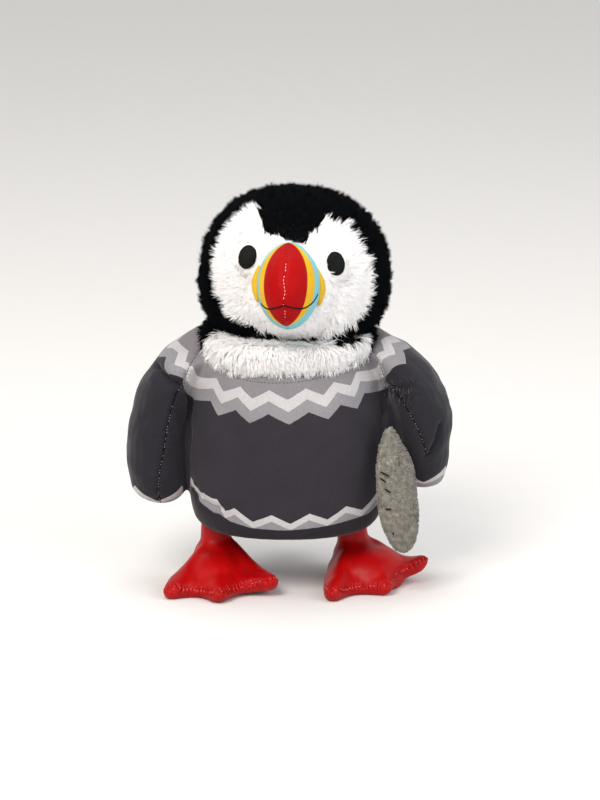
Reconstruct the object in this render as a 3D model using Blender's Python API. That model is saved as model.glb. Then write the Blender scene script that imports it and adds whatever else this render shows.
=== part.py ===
# Plush puffin: a stuffed soft toy that stands on two webbed feet, wears a zigzag jumper printed on its
# body cloth, and holds a small plush fish under its left wing. Left and right are the bird's own.
# The bird faces -Y, +X is its left and +Z is up. Sizes are in millimetres until a mesh becomes an object.
import math

import bmesh
import bpy
import numpy as np
from mathutils import Euler, Matrix, Vector

MM = 0.001
GAP = 0.3                                # room left between neighbouring pieces

# Head: a rounded box of fur, flat under the chin where the neck joins it
HEAD_CENTRE = Vector((2.4, -1.0, 206.5))
HEAD_HALF = Vector((62.8, 57.5, 58.2))   # half width, half depth, height above the centre
HEAD_BELOW = 47.0                        # depth of the jowls below the centre
HEAD_TILT = math.radians(4.0)            # leans towards the bird's left shoulder
HEAD_TURN = math.radians(-3.0)           # looks slightly to the bird's right
CHIN_HEIGHT = 173.0                      # underside of the head on the neck's axis
CHIN_SLOPE = 0.12

# Bill: a deep rounded wedge with a soft keel down the middle
BILL_CENTRE = Vector((-0.5, -54.5, 208.5))
BILL_HALF = Vector((20.5, 38.5, 28.0))
BILL_TURN = math.radians(-4.5)

# Eyes: low oval buttons of thread that sit in hollows of the fur
EYE_PLACES = {"eye_right": (-27.7, 226.0, 8.0), "eye_left": (29.9, 222.0, -8.0)}   # x, z, lean in degrees
EYE_HALF = Vector((5.75, 1.6, 7.25))
EYE_DEPTH = 2.0
SOCKET_HALF = Vector((8.5, 3.9, 10.0))

# Neck ruff: a fur collar that rises to the nape
RUFF_CENTRE = Vector((-1.0, -4.5, 167.5))
RUFF_HALF = Vector((57.0, 53.0, 19.0))
RUFF_RISE = math.radians(10.0)
RUFF_ROLL = math.radians(-3.0)

# Trunk: stations of height, half width, reach to the front, reach to the back
TRUNK_MIDDLE = -2.0
TRUNK_STATIONS = (
    (38.0, 48.0, 44.0, 36.0),
    (39.2, 55.0, 49.5, 41.0),
    (43.5, 60.0, 53.5, 44.5),
    (52.0, 63.0, 56.0, 46.5),
    (70.0, 65.0, 57.5, 48.0),
    (93.0, 65.5, 58.0, 48.0),
    (120.0, 65.0, 57.5, 47.0),
    (140.0, 62.0, 54.0, 44.0),
    (155.0, 58.0, 49.5, 41.0),
    (168.0, 53.5, 45.0, 38.5),
    (182.0, 50.0, 41.0, 36.0),
)
NECK_HEIGHT = 167.0                      # height of the neckline plane on the neck's axis
NECK_SLOPE = Vector((0.053, 0.36))       # its rise per millimetre towards +X and +Y
NAPE_HEIGHT = 169.0                      # level top of the trunk behind the neckline plane

# Wings: stations of height, middle x, middle y, half width, half depth
WING_STATIONS = {
    "wing_right": (
        (53.5, -84.5, -3.0, 4.0, 8.0),
        (56.0, -85.0, -3.0, 11.5, 17.5),
        (63.0, -86.0, -3.0, 18.4, 25.0),
        (76.0, -87.0, -3.0, 19.6, 29.5),
        (91.0, -87.5, -3.0, 19.8, 32.0),
        (109.0, -85.8, -3.5, 19.2, 33.5),
        (131.0, -79.7, -4.0, 19.2, 34.0),
        (145.0, -72.0, -4.0, 18.6, 33.5),
        (152.0, -67.2, -4.0, 17.6, 32.5),
        (160.0, -60.5, -4.0, 15.0, 30.0),
        (168.0, -52.0, -4.0, 10.5, 25.0),
        (174.0, -45.0, -4.0, 7.0, 18.0),
    ),
    "wing_left": (
        (62.5, 88.0, 3.0, 5.0, 8.0),
        (65.0, 87.6, 3.0, 11.2, 17.0),
        (71.0, 86.6, 2.0, 15.2, 24.0),
        (81.0, 85.8, 0.0, 17.6, 29.0),
        (97.0, 86.0, -5.0, 18.9, 33.0),
        (115.0, 85.2, -9.0, 20.4, 35.5),
        (131.0, 80.6, -9.0, 20.4, 36.0),
        (145.0, 72.8, -7.0, 19.2, 34.5),
        (157.0, 61.5, -5.0, 16.0, 31.0),
        (168.0, 47.5, -4.0, 8.6, 25.0),
        (174.0, 42.0, -4.0, 6.0, 18.0),
    ),
}

# Legs and feet: the toes are x, y and how far the tip is lifted
LEG_RADIUS = 12.5
LEG_FOOT, LEG_TOP = 9.0, 50.0
FEET = {
    "right": {"ankle": Vector((-47.0, 3.0)), "toes": ((-83.0, -56.0, 0.0), (-46.0, -66.0, 0.0), (-5.5, -52.0, 7.0))},
    "left": {"ankle": Vector((43.0, 3.0)), "toes": ((24.5, -62.0, 0.0), (66.0, -48.0, 0.0), (95.0, -17.0, 13.0))},
}
HEEL_RADIUS = 16.5
TOE_RADIUS = 5.5
WEB_HOLLOW = 9.0                         # how far each web's front edge curves in between two toes
SIDE_BULGE = 4.0                         # how far the foot's sides curve out
LIFT_REACH = 48.0
FOOT_PROFILE = (                         # share of the way to the edge, height: over the top and under the sole
    (0.14, 29.0), (0.30, 26.0), (0.46, 21.0), (0.62, 16.0), (0.78, 12.4),
    (0.91, 10.0), (0.98, 7.6), (1.0, 4.8), (0.98, 2.0), (0.92, 0.0), (0.55, 0.0),
)
FLAT_SHARE = 0.55                        # the sole is flat out to this share

# Tail: a short flat wedge under the back of the hem
TAIL_CENTRE = Vector((-2.0, 50.0, 54.0))
TAIL_HALF = Vector((17.0, 21.0, 7.5))
TAIL_PITCH = math.radians(14.0)

# Fish: a leaf-shaped cushion, head down, held against the flank: share of its length, half width, half thickness
FISH_TOP = Vector((64.0, -41.0, 113.0))
FISH_FOOT = Vector((73.7, -51.5, 31.5))
FISH_TURN = math.radians(16.0)
FISH_STATIONS = (
    (0.0, 1.6, 1.2),
    (0.06, 5.0, 3.0),
    (0.18, 10.4, 4.9),
    (0.35, 13.8, 6.6),
    (0.55, 14.4, 7.4),
    (0.72, 14.0, 7.3),
    (0.85, 11.8, 6.3),
    (0.94, 8.2, 4.7),
    (0.985, 4.6, 3.0),
    (1.0, 2.0, 1.4),
)

COLOURS = {                              # sRGB hex, roughness
    "black_plush": ("#0d0f13", 0.9),
    "white_plush": ("#efe9e2", 0.9),
    "slate_print": ("#403c44", 0.8),
    "red_satin": ("#c11217", 0.5),
    "eye_thread": ("#17181b", 0.55),
    "grey_plush": ("#837d71", 0.9),
}


def clear_scene():
    for thing in list(bpy.data.objects):
        bpy.data.objects.remove(thing, do_unlink=True)


def make_material(name):
    colour, roughness = COLOURS[name]
    channels = [int(colour[i:i + 2], 16) / 255.0 for i in (1, 3, 5)]
    linear = [c / 12.92 if c <= 0.04045 else ((c + 0.055) / 1.055) ** 2.4 for c in channels]
    material = bpy.data.materials.get(name) or bpy.data.materials.new(name)
    material.use_nodes = True
    shader = material.node_tree.nodes["Principled BSDF"]
    shader.inputs["Base Color"].default_value = (*linear, 1.0)
    shader.inputs["Roughness"].default_value = roughness
    return material


def make_object(name, bm, material):
    """Turn a mesh in millimetres into an object in metres with smooth, outward faces."""
    bmesh.ops.scale(bm, vec=(MM, MM, MM), verts=bm.verts)
    bmesh.ops.triangulate(bm, faces=bm.faces)
    bmesh.ops.recalc_face_normals(bm, faces=bm.faces)
    mesh = bpy.data.meshes.new(name)
    bm.to_mesh(mesh)
    bm.free()
    mesh.shade_smooth()
    mesh.set_sharp_from_angle(angle=math.radians(50))
    mesh.materials.append(make_material(material))
    thing = bpy.data.objects.new(name, mesh)
    bpy.context.scene.collection.objects.link(thing)
    return thing


def power(value, exponent):
    return math.copysign(abs(value) ** exponent, value)


def blob(centre, half, roundness=2.0, below=None, rotation=(0.0, 0.0, 0.0), sides=32, rows=16):
    """A superellipsoid; 'below' gives the lower half its own height and a flatter bottom."""
    bm = bmesh.new()
    bmesh.ops.create_uvsphere(bm, u_segments=sides, v_segments=rows, radius=1.0)
    for vert in bm.verts:
        x, y, z = vert.co
        lower = below and z < 0
        upright = roundness + 0.8 if lower else roundness
        level = (abs(x) ** roundness + abs(y) ** roundness) ** (1 / roundness)
        size = (level ** upright + abs(z) ** upright) ** (1 / upright)
        vert.co = Vector((x * half.x, y * half.y, z * (below if lower else half.z))) / size
    place = Matrix.Translation(centre) @ Euler(rotation).to_matrix().to_4x4()
    bmesh.ops.transform(bm, matrix=place, verts=bm.verts)
    return bm


def smooth_rows(stations, per_station=2):
    """Rows on a smooth curve that passes through every station."""
    table = np.array(stations, float)
    last = len(table) - 1
    rows = []
    for step in range(last * per_station + 1):
        index = min(step // per_station, last - 1)
        t = step / per_station - index
        a, b, c, d = (table[min(max(index + k, 0), last)] for k in (-1, 0, 1, 2))
        rows.append(0.5 * (2 * b + (c - a) * t + (2 * a - 5 * b + 4 * c - d) * t ** 2
                           + (3 * b - a - 3 * c + d) * t ** 3))
    return rows


def add_ring(bm, height, middle, half_width, front, back, sides, roundness):
    ring = []
    for k in range(sides):
        angle = 2 * math.pi * k / sides
        across = power(math.cos(angle), 2 / roundness)
        along = power(math.sin(angle), 2 / roundness)
        reach = back if along > 0 else front
        ring.append(bm.verts.new((middle[0] + half_width * across, middle[1] + reach * along, height)))
    return ring


def skin_rings(bm, rings):
    """Join rings of equal count side by side and close the two ends."""
    for lower, upper in zip(rings, rings[1:]):
        count = len(lower)
        for k in range(count):
            bm.faces.new((lower[k], lower[(k + 1) % count], upper[(k + 1) % count], upper[k]))
    bm.faces.new(list(reversed(rings[0])))
    bm.faces.new(rings[-1])


def slice_off(bm, point, normal):
    """Cut the mesh with a plane, drop what lies beyond it and close the cut."""
    everything = bm.verts[:] + bm.edges[:] + bm.faces[:]
    bmesh.ops.bisect_plane(bm, geom=everything, dist=1e-4, plane_co=point, plane_no=normal, clear_outer=True)
    bmesh.ops.holes_fill(bm, edges=[edge for edge in bm.edges if edge.is_boundary])


def make_cutter(thing, growth=GAP):
    """A hidden copy of a piece, larger by the gap, that cuts its neighbours."""
    cutter = bpy.data.objects.new(thing.name + "_cutter", thing.data.copy())
    bpy.context.scene.collection.objects.link(cutter)
    cutter.hide_render = True
    cutter.display_type = "WIRE"
    if growth:
        swell = cutter.modifiers.new("gap", "DISPLACE")
        swell.strength = growth * MM
        swell.mid_level = 0.0
    return cutter


def cut(thing, *cutters):
    for cutter in cutters:
        bite = thing.modifiers.new("cut_by_" + cutter.name, "BOOLEAN")
        bite.operation = "DIFFERENCE"
        bite.solver = "EXACT"
        bite.object = cutter


def head_surface(x, z):
    """The y of the head's front face at a given x and z."""
    across = abs((x - HEAD_CENTRE.x) / HEAD_HALF.x) ** 2.2
    up = abs((z - HEAD_CENTRE.z) / HEAD_HALF.z) ** 2.2
    return HEAD_CENTRE.y - HEAD_HALF.y * (1.0 - across - up) ** (1 / 2.2)


def head_normal(x, z):
    slope_x = head_surface(x + 1, z) - head_surface(x - 1, z)
    slope_z = head_surface(x, z + 1) - head_surface(x, z - 1)
    return Vector((slope_x / 2, -1.0, slope_z / 2)).normalized()


def make_head():
    bm = blob(HEAD_CENTRE, HEAD_HALF, 2.2, below=HEAD_BELOW, rotation=(0.0, HEAD_TILT, HEAD_TURN), sides=34, rows=18)
    slice_off(bm, Vector((0.0, 0.0, CHIN_HEIGHT)), Vector((0.0, CHIN_SLOPE, -1.0)))
    return make_object("head", bm, "black_plush")


def make_bill():
    bm = blob(BILL_CENTRE, BILL_HALF, 1.9, rotation=(0.0, 0.0, BILL_TURN), sides=26, rows=14)
    return make_object("bill", bm, "red_satin")


def make_eyes(head):
    """Each eye is turned to the head's surface, so its flat side faces out of its hollow."""
    eyes = []
    for name, (x, z, lean) in EYE_PLACES.items():
        outward = head_normal(x, z)
        surface = Vector((x, head_surface(x, z), z))
        turn = outward.to_track_quat("-Y", "Z").to_matrix() @ Euler((0.0, math.radians(lean), 0.0)).to_matrix()
        for part, half, depth, sides in ((name, EYE_HALF, EYE_DEPTH, 16), (name + "_socket", SOCKET_HALF, 0.0, 20)):
            bm = blob(Vector((0, 0, 0)), half, 2.0, sides=sides, rows=10)
            place = Matrix.Translation(surface - outward * depth) @ turn.to_4x4()
            bmesh.ops.transform(bm, matrix=place, verts=bm.verts)
            piece = make_object(part, bm, "eye_thread")
            if part == name:
                eyes.append(piece)
            else:
                piece.hide_render = True
                piece.display_type = "WIRE"
                cut(head, piece)
    return eyes


def make_ruff():
    bm = blob(RUFF_CENTRE, RUFF_HALF, 2.6, rotation=(RUFF_RISE, RUFF_ROLL, 0.0), sides=34, rows=10)
    return make_object("neck_ruff", bm, "white_plush")


def trim_at_neckline(bm):
    """The jumper ends on a plane that dips at the front, and level across the nape."""
    plane = Vector((NECK_SLOPE.x, NECK_SLOPE.y, -1.0))
    slice_off(bm, Vector((0.0, 0.0, NECK_HEIGHT)), -plane)
    slice_off(bm, Vector((0.0, 0.0, NAPE_HEIGHT)), Vector((0.0, 0.0, 1.0)))


def make_trunk():
    bm = bmesh.new()
    rings = [add_ring(bm, height, (TRUNK_MIDDLE, 0.0), width, front, back, 34, 2.25)
             for height, width, front, back in smooth_rows(TRUNK_STATIONS)]
    skin_rings(bm, rings)
    trim_at_neckline(bm)
    return make_object("trunk", bm, "slate_print")


def make_wing(name):
    bm = bmesh.new()
    rings = [add_ring(bm, height, (x, y), width, depth, depth, 22, 2.0)
             for height, x, y, width, depth in smooth_rows(WING_STATIONS[name])]
    skin_rings(bm, rings)
    trim_at_neckline(bm)
    return make_object(name, bm, "slate_print")


def curved_edge(start, end, hollow, count):
    """Points from start up to, but not including, end, bowed to one side."""
    along = end - start
    inward = Vector((-along.y, along.x)).normalized()
    points = []
    for k in range(count):
        t = k / count
        points.append(start + along * t + inward * (hollow * 4 * t * (1 - t)))
    return points


def toe_arc(ankle, tip):
    """The rounded end of one toe."""
    ahead = (tip - ankle).normalized()
    centre = tip - ahead * TOE_RADIUS
    turn = math.atan2(ahead.y, ahead.x)
    return [centre + Vector((math.cos(turn + swing), math.sin(turn + swing))) * TOE_RADIUS
            for swing in np.radians((-72.0, -24.0, 24.0, 72.0))]


def foot_outline(ankle, toes):
    """Anticlockwise seen from above: along one side, over the three toes and round the heel."""
    first, middle, last = (toe_arc(ankle, Vector(toe[:2])) for toe in toes)
    ahead = (Vector(toes[1][:2]) - ankle).normalized()
    side = Vector((-ahead.y, ahead.x)) * HEEL_RADIUS
    points = curved_edge(ankle - side, first[0], -SIDE_BULGE, 4) + first[:-1]
    points += curved_edge(first[-1], middle[0], WEB_HOLLOW, 4) + middle[:-1]
    points += curved_edge(middle[-1], last[0], WEB_HOLLOW, 4) + last[:-1]
    points += curved_edge(last[-1], ankle + side, -SIDE_BULGE, 4)
    turn = math.atan2(side.y, side.x)
    points += [ankle + Vector((math.cos(turn + math.pi * k / 8), math.sin(turn + math.pi * k / 8))) * HEEL_RADIUS
               for k in range(8)]
    return points


def make_foot(side):
    """A stuffed web: high at the ankle, low at the front, with a flat sole and a lifted outer toe."""
    ankle, toes = FEET[side]["ankle"], FEET[side]["toes"]
    tip, lift = Vector(toes[2][:2]), toes[2][2]
    outline = foot_outline(ankle, toes)
    count = len(outline)
    outline = [(outline[k - 1] + outline[k] * 4 + outline[(k + 1) % count]) / 6 for k in range(count)]
    bm = bmesh.new()
    rings = []
    for share, height in FOOT_PROFILE:
        ring = []
        for point in outline:
            flat = ankle + (point - ankle) * share
            rise = lift * max(0.0, 1.0 - (flat - tip).length / LIFT_REACH) ** 1.5
            rise *= max(0.0, share - FLAT_SHARE) / (1.0 - FLAT_SHARE)
            ring.append(bm.verts.new((flat.x, flat.y, height + rise)))
        rings.append(ring)
    skin_rings(bm, rings)
    return make_object("foot_" + side, bm, "red_satin")


def make_leg(side):
    ankle = FEET[side]["ankle"]
    bm = bmesh.new()
    rings = [add_ring(bm, height, ankle, LEG_RADIUS, LEG_RADIUS, LEG_RADIUS, 20, 2.0)
             for height in np.linspace(LEG_FOOT, LEG_TOP, 4)]
    skin_rings(bm, rings)
    return make_object("leg_" + side, bm, "red_satin")


def make_tail():
    bm = blob(TAIL_CENTRE, TAIL_HALF, 2.3, rotation=(TAIL_PITCH, 0.0, 0.0), sides=20, rows=10)
    return make_object("tail", bm, "black_plush")


def make_fish():
    axis = FISH_FOOT - FISH_TOP
    bm = bmesh.new()
    rings = [add_ring(bm, share * axis.length, (0.0, 0.0), width, thick, thick, 18, 1.8)
             for share, width, thick in smooth_rows(FISH_STATIONS)]
    skin_rings(bm, rings)
    lie = axis.to_track_quat("Z", "Y").to_matrix() @ Matrix.Rotation(FISH_TURN, 3, "Z")
    bmesh.ops.transform(bm, matrix=Matrix.Translation(FISH_TOP) @ lie.to_4x4(), verts=bm.verts)
    return make_object("fish", bm, "grey_plush")


def centre_over_origin():
    """Move everything so that the toy's box stands centred on the origin."""
    bpy.context.view_layer.update()
    graph = bpy.context.evaluated_depsgraph_get()
    corners = [thing.evaluated_get(graph).matrix_world @ Vector(corner)
               for thing in bpy.data.objects if not thing.hide_render
               for corner in thing.evaluated_get(graph).bound_box]
    middle = [(min(c[axis] for c in corners) + max(c[axis] for c in corners)) / 2 for axis in (0, 1)]
    for thing in bpy.data.objects:
        thing.location = (-middle[0], -middle[1], 0.0)


def main():
    clear_scene()
    head = make_head()
    head_cutter = make_cutter(head)
    make_eyes(head)
    bill = make_bill()
    cut(bill, head_cutter)
    trunk = make_trunk()
    trunk_cutter = make_cutter(trunk)
    ruff = make_ruff()
    cut(ruff, head_cutter, trunk_cutter)
    ruff_cutter = make_cutter(ruff)
    fish = make_fish()
    fish_cutter = make_cutter(fish)
    cut(fish, trunk_cutter)
    for name in WING_STATIONS:
        wing = make_wing(name)
        cut(wing, trunk_cutter, ruff_cutter)
        if name == "wing_left":
            cut(wing, fish_cutter)
    for side in FEET:
        foot = make_foot(side)
        cut(make_leg(side), trunk_cutter, make_cutter(foot))
    cut(make_tail(), trunk_cutter)
    centre_over_origin()


main()
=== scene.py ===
import math

import bmesh
import bpy
import numpy as np
from mathutils import Matrix, Vector, kdtree
from mathutils.bvhtree import BVHTree


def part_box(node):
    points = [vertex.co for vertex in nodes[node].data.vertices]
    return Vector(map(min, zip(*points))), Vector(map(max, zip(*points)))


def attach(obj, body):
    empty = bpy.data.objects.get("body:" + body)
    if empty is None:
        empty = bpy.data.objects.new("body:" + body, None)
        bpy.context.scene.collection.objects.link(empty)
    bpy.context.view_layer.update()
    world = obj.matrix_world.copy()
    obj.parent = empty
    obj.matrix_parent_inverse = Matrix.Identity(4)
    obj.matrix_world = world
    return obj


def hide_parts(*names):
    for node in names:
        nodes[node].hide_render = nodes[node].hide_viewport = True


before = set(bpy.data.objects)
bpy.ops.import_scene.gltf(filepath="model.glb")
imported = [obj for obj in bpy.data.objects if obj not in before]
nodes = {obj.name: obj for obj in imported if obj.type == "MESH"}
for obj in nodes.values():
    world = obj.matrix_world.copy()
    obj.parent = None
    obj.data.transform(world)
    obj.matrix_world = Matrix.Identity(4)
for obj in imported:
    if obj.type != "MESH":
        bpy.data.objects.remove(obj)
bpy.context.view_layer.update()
mm = 0.001

# Places are in millimetres from the middle of the trunk:
# x to the bird's left, y to its back, z up from the ground
trunkLow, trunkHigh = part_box("trunk")
leftOfBox, beforeBack = 0.002, 0.04795     # where that middle is in the trunk's box
middle = Vector(((trunkLow.x + trunkHigh.x) / 2 + leftOfBox, trunkHigh.y - beforeBack, 0.0))
print("frame loaded")


# Small tools

def place(x, y, z):
    # A place in the frame's metres
    return middle + Vector((x, y, z)) * mm


def toWorld(points):
    return points * mm + np.array(middle)


def linear(hexColour):
    # An sRGB hex colour as linear values
    channels = [int(hexColour[i:i + 2], 16) / 255 for i in (1, 3, 5)]
    return (*[c / 12.92 if c <= 0.04045 else ((c + 0.055) / 1.055) ** 2.4 for c in channels], 1.0)


def addNode(tree, kind, inputs=None, **settings):
    # One shader node, with its settings, and its inputs set or linked
    node = tree.nodes.new("ShaderNode" + kind)
    for key, value in settings.items():
        setattr(node, key, value)
    for key, value in (inputs or {}).items():
        if isinstance(value, bpy.types.Node):
            value = value.outputs[0]
        if isinstance(value, bpy.types.NodeSocket):
            tree.links.new(value, node.inputs[key])
        else:
            node.inputs[key].default_value = value
    return node


def newMaterial(name, **shaderValues):
    # A Principled material, with values for its shader's sockets
    material = bpy.data.materials.new(name)
    material.use_nodes = True
    tree = material.node_tree
    shader = tree.nodes["Principled BSDF"]
    for key, value in shaderValues.items():
        shader.inputs[key.replace("_", " ")].default_value = value
    return material, tree, shader


def wire(tree, shader, colour, bump=None):
    tree.links.new(colour.outputs[0], shader.inputs["Base Color"])
    if bump is not None:
        tree.links.new(bump.outputs[0], shader.inputs["Normal"])


def newPiece(name, mesh):
    piece = bpy.data.objects.new(name, mesh)
    bpy.context.scene.collection.objects.link(piece)
    return piece


def fromBmesh(name, bm, smooth=True):
    mesh = bpy.data.meshes.new(name)
    bm.to_mesh(mesh)
    bm.free()
    if smooth:
        mesh.shade_smooth()
    return newPiece(name, mesh)


def copyNodes(name, *nodeNames, hull=False, gussets=()):
    # A working copy of CAD nodes, with their loose triangles merged.
    # Gussets are ovals that fill the hollows between them: middle, half sizes and lean to the side
    bm = bmesh.new()
    for nodeName in nodeNames:
        bm.from_mesh(nodes[nodeName].data)
    bmesh.ops.remove_doubles(bm, verts=bm.verts, dist=1e-5)
    for centre, half, lean in gussets:
        turn = Matrix.Rotation(math.radians(lean), 4, "Y")
        size = Matrix.Diagonal((half[0] * mm, half[1] * mm, half[2] * mm, 1))
        bmesh.ops.create_uvsphere(bm, u_segments=32, v_segments=20, radius=1,
                                  matrix=Matrix.Translation(place(*centre)) @ turn @ size)
    if hull:
        made = bmesh.ops.convex_hull(bm, input=bm.verts)
        inner = [g for g in made["geom_interior"] if isinstance(g, bmesh.types.BMVert)]
        bmesh.ops.delete(bm, geom=inner, context="VERTS")
    return fromBmesh(name, bm)


def settle(piece):
    # Modifiers become the mesh
    graph = bpy.context.evaluated_depsgraph_get()
    graph.update()
    old, piece.data = piece.data, bpy.data.meshes.new_from_object(piece.evaluated_get(graph))
    piece.modifiers.clear()
    bpy.data.meshes.remove(old)
    piece.data.shade_smooth()
    return piece


def remesh(piece, voxel, smoothing, swell=0.0):
    # One even mesh over all of a piece's shells, smoothed as cloth over stuffing is
    if swell:
        grow = piece.modifiers.new("swell", "DISPLACE")
        grow.strength, grow.mid_level = swell * mm, 0.0
    even = piece.modifiers.new("remesh", "REMESH")
    even.mode, even.voxel_size = "VOXEL", voxel * mm
    soft = piece.modifiers.new("soften", "SMOOTH")
    soft.factor, soft.iterations = 0.5, smoothing
    return settle(piece)


def readPoints(piece):
    # Vertices in millimetres from the middle, and their normals
    count = len(piece.data.vertices)
    points, normals = np.zeros(count * 3), np.zeros(count * 3)
    piece.data.vertices.foreach_get("co", points)
    piece.data.vertex_normals.foreach_get("vector", normals)
    return (points.reshape(-1, 3) - np.array(middle)) / mm, normals.reshape(-1, 3)


def writePoints(piece, points):
    piece.data.vertices.foreach_set("co", toWorld(points).ravel())
    piece.data.update()


def writeValue(piece, name, values):
    attribute = piece.data.attributes.new(name, "FLOAT", "POINT")
    attribute.data.foreach_set("value", np.asarray(values, np.float32))


def ease(values, low, high):
    # 0 below low, 1 above high, and a soft step between
    t = np.clip((values - low) / (high - low), 0, 1)
    return t * t * (3 - 2 * t)


def waves(points, size, seed):
    # Smooth, repeatable unevenness between -1 and 1, with lumps of about the given size
    dice = np.random.default_rng(seed)
    total = np.zeros(len(points))
    for _ in range(7):
        direction = dice.normal(size=3)
        direction *= 2 * math.pi / (size * dice.uniform(0.7, 1.6) * np.linalg.norm(direction))
        total += np.sin(points @ direction + dice.uniform(0, 6.28))
    return total / 3.2


def swirl(points, size, seed):
    # The same unevenness in x, y and z
    return np.stack([waves(points, size, seed + k) for k in range(3)], 1)


def along(stops, step=0.5):
    # Evenly spaced points on a line through the stops, and the distance of each from its start
    stops = np.array(stops, float)
    spans = np.linalg.norm(np.diff(stops, axis=0), axis=1)
    ends = np.concatenate([[0], np.cumsum(spans)])
    marks = np.arange(0, ends[-1], step)
    return np.stack([np.interp(marks, ends, stops[:, k]) for k in range(3)], 1), marks


def nearest(points, line):
    # Distance to the nearest sample of a line, and that sample's number
    distance = np.full(len(points), 1e9)
    index = np.zeros(len(points), int)
    for start in range(0, len(points), 4000):
        part = points[start:start + 4000]
        gaps = np.linalg.norm(part[:, None, :] - line[None], axis=2)
        index[start:start + 4000] = gaps.argmin(1)
        distance[start:start + 4000] = gaps.min(1)
    return distance, index


def surfaceTree(piece):
    return BVHTree.FromObject(piece, bpy.context.evaluated_depsgraph_get())


def lay(piece, line, heading):
    # Drops a line on a piece along a heading, and keeps a point as it is where it would miss
    tree = surfaceTree(piece)
    ahead = Vector(heading).normalized()
    before = 0.03     # the fall starts 30 mm before the point and ends 30 mm past it
    laid = []
    for point in line:
        spot = tree.ray_cast(place(*point) - ahead * before, ahead, 2 * before)[0]
        laid.append(np.array(spot - middle) / mm if spot else point)
    return np.array(laid)


fromFront, fromBack, downwards = (0, 1, -0.24), (0, -1, -0.24), (0, 0, -1)


def pressSeam(piece, stops, width, depth, pucker=0.0, pitch=5.0, reach=6.0, seed=1, heading=fromFront):
    # Sinks the cloth along a seam that fades at its ends, and gathers it in short creases that cross the seam
    points, normals = readPoints(piece)
    line, marks = along(stops)
    line = lay(piece, line, heading)
    distance, index = nearest(points, line)
    sink = depth * np.exp(-(distance / width) ** 2)
    if pucker:
        # Spacing and strength of the creases drift every 7 mm
        dice = np.random.default_rng(seed)
        knots = np.arange(0, marks[-1] + 14, 7)
        wander = np.interp(marks, knots, dice.uniform(-2.2, 2.2, len(knots)))
        strength = np.interp(marks, knots, dice.uniform(0.25, 1, len(knots)))
        crease = np.sin(2 * math.pi * marks / pitch + wander) * strength
        sink += pucker * crease[index] * np.exp(-(distance / reach) ** 2)
    sink *= ease(np.minimum(marks, marks[-1] - marks)[index], -2, 5)
    writePoints(piece, points - normals * sink[:, None])


def writeGathers(piece, seamLines):
    # How strongly the cloth is gathered at each vertex, and how far along its seam that is
    points, _ = readPoints(piece)
    amount, phase = np.zeros(len(points)), np.zeros(len(points))
    for stops, heading, reach, strength in seamLines:
        line, marks = along(stops)
        distance, index = nearest(points, lay(piece, line, heading))
        here = strength * np.exp(-(distance / reach) ** 2)
        phase = np.where(here > amount, marks[index], phase)
        amount = np.maximum(amount, here)
    writeValue(piece, "gather", amount)
    writeValue(piece, "gatherAlong", phase)


def gathered(tree, coords, under):
    # Fine creases across a seam, added to a bump
    pitch = 2.6
    amount = addNode(tree, "Attribute", attribute_name="gather").outputs["Fac"]
    phase = addNode(tree, "Attribute", attribute_name="gatherAlong").outputs["Fac"]
    wander = addNode(tree, "TexNoise", {"Vector": coords, "Scale": 130.0, "Detail": 2.0})
    turned = addNode(tree, "Math", {0: phase, 1: 2 * math.pi / pitch}, operation="MULTIPLY")
    turned = addNode(tree, "Math", {0: wander, 1: 9.0, 2: turned}, operation="MULTIPLY_ADD")
    wave = addNode(tree, "Math", {0: turned}, operation="SINE")
    height = addNode(tree, "Math", {0: amount, 1: wave}, operation="MULTIPLY")
    return addNode(tree, "Bump", {"Height": height, "Strength": 1.0, "Distance": 0.0007, "Normal": under})


def sewLine(bm, surface, stops, pitch, length, radius, proud, seed, gaps=0.0, heading=fromFront):
    # Separate stitches laid along a line on a surface
    dice = np.random.default_rng(seed)
    line = lay(surface, along(stops, pitch)[0], heading)
    tree = surfaceTree(surface)
    landed = [tree.find_nearest(place(*point)) for point in line]
    for number in range(len(landed) - 1):
        if dice.random() < gaps:
            continue
        spot, normal = landed[number][0], landed[number][1]
        ahead = (landed[number + 1][0] - spot).normalized()
        across = normal.cross(ahead).normalized()
        lift = ahead.cross(across)
        turn = Matrix((ahead, across, lift)).transposed().to_4x4()
        size = Matrix.Diagonal((length / 2 * mm, radius * mm, radius * mm, 1))
        at = Matrix.Translation(spot + normal * proud * mm + across * dice.uniform(-0.1, 0.1) * mm)
        bmesh.ops.create_uvsphere(bm, u_segments=6, v_segments=5, radius=1, matrix=at @ turn @ size)


def threadPiece(name, surface, lines, radius, proud=0.0, drop=True):
    # Continuous lines laid on a surface, made a mesh: threads, and the painted shade sunk into seams
    tree = surfaceTree(surface)
    curve = bpy.data.curves.new(name, "CURVE")
    curve.dimensions = "3D"
    curve.bevel_depth, curve.bevel_resolution = radius * mm, 2
    curve.use_fill_caps = True
    for stops in lines:
        line = along(stops, 0.8)[0]
        if drop:
            line = lay(surface, line, fromFront)
        spline = curve.splines.new("POLY")
        spline.points.add(len(line) - 1)
        for point, knot in zip(line, spline.points):
            spot, normal = tree.find_nearest(place(*point))[:2]
            knot.co = (*(spot + normal * proud * mm), 1)
    holder = newPiece(name + "Line", curve)
    graph = bpy.context.evaluated_depsgraph_get()
    mesh = bpy.data.meshes.new_from_object(holder.evaluated_get(graph))
    bpy.data.objects.remove(holder)
    mesh.shade_smooth()
    return newPiece(name, mesh)


def dress(piece, material, replaced=()):
    # Material, slot and replaced nodes of a finished piece
    piece.data.materials.clear()
    piece.data.materials.append(material)
    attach(piece, "root")
    if replaced:
        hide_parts(*replaced)
    return piece


# Jumper: stretch cloth of body and wings, printed with zigzags

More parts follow.
